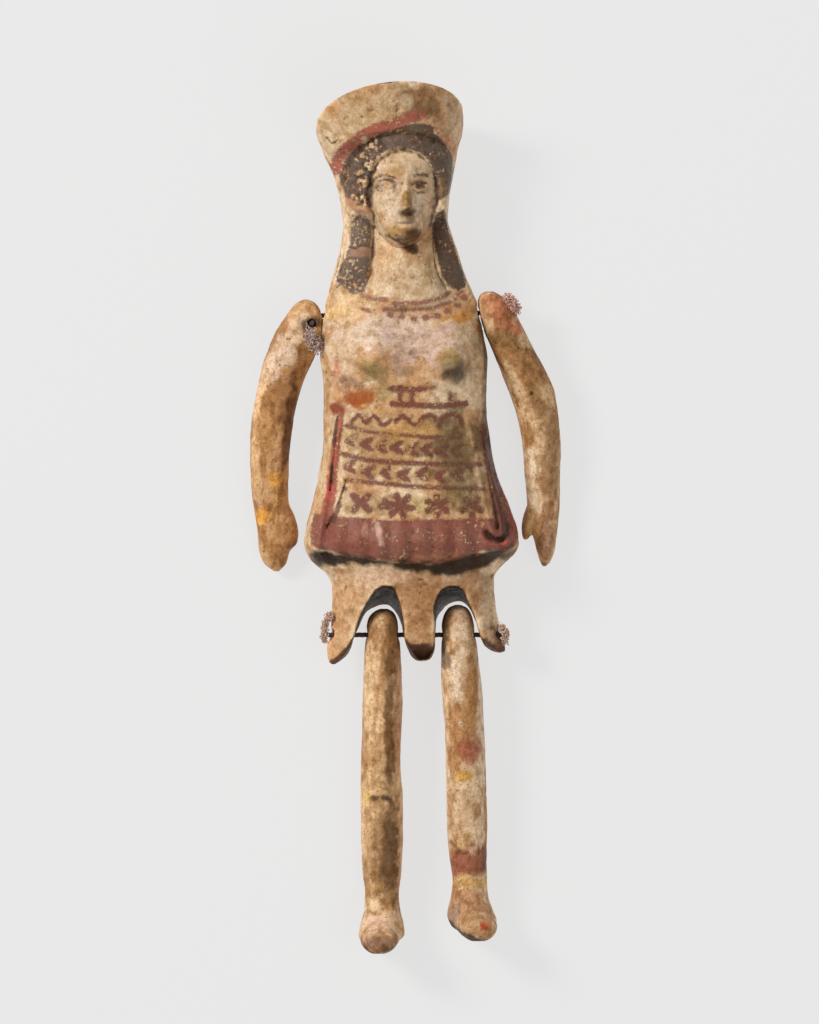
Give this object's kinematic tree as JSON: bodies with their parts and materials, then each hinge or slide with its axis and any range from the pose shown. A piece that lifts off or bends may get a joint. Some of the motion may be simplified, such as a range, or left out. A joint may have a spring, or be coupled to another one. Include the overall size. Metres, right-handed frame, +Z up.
{
  "type": "jointed terracotta doll",
  "caption": "Moulded terracotta doll in a flaring headdress and patterned apron, with separate arms and legs strung on cords through its shoulders and skirt.",
  "frame": {"origin": "under the middle of the doll, on the surface that its flat back lies on", "axes": "+X towards the viewer's right when the doll is seen from its front, +Y from the feet to the head, +Z up out of the doll's front"},
  "size_m": [0.043, 0.12, 0.0165],
  "materials": {
    "painted_clay": "matt buff fired clay with worn slip and worn maroon, black and yellow paint",
    "bare_clay": "matt buff to orange fired clay with worn cream slip and stains",
    "cord": "dark brown twisted thread with frayed grey-pink ends"
  },
  "bodies": {
    "root": {"trunk": "painted_clay", "left_arm": "bare_clay", "right_arm": "bare_clay", "left_leg": "bare_clay", "right_leg": "bare_clay", "arm_cord": "cord", "leg_cord": "cord"}
  },
  "joints": []
}
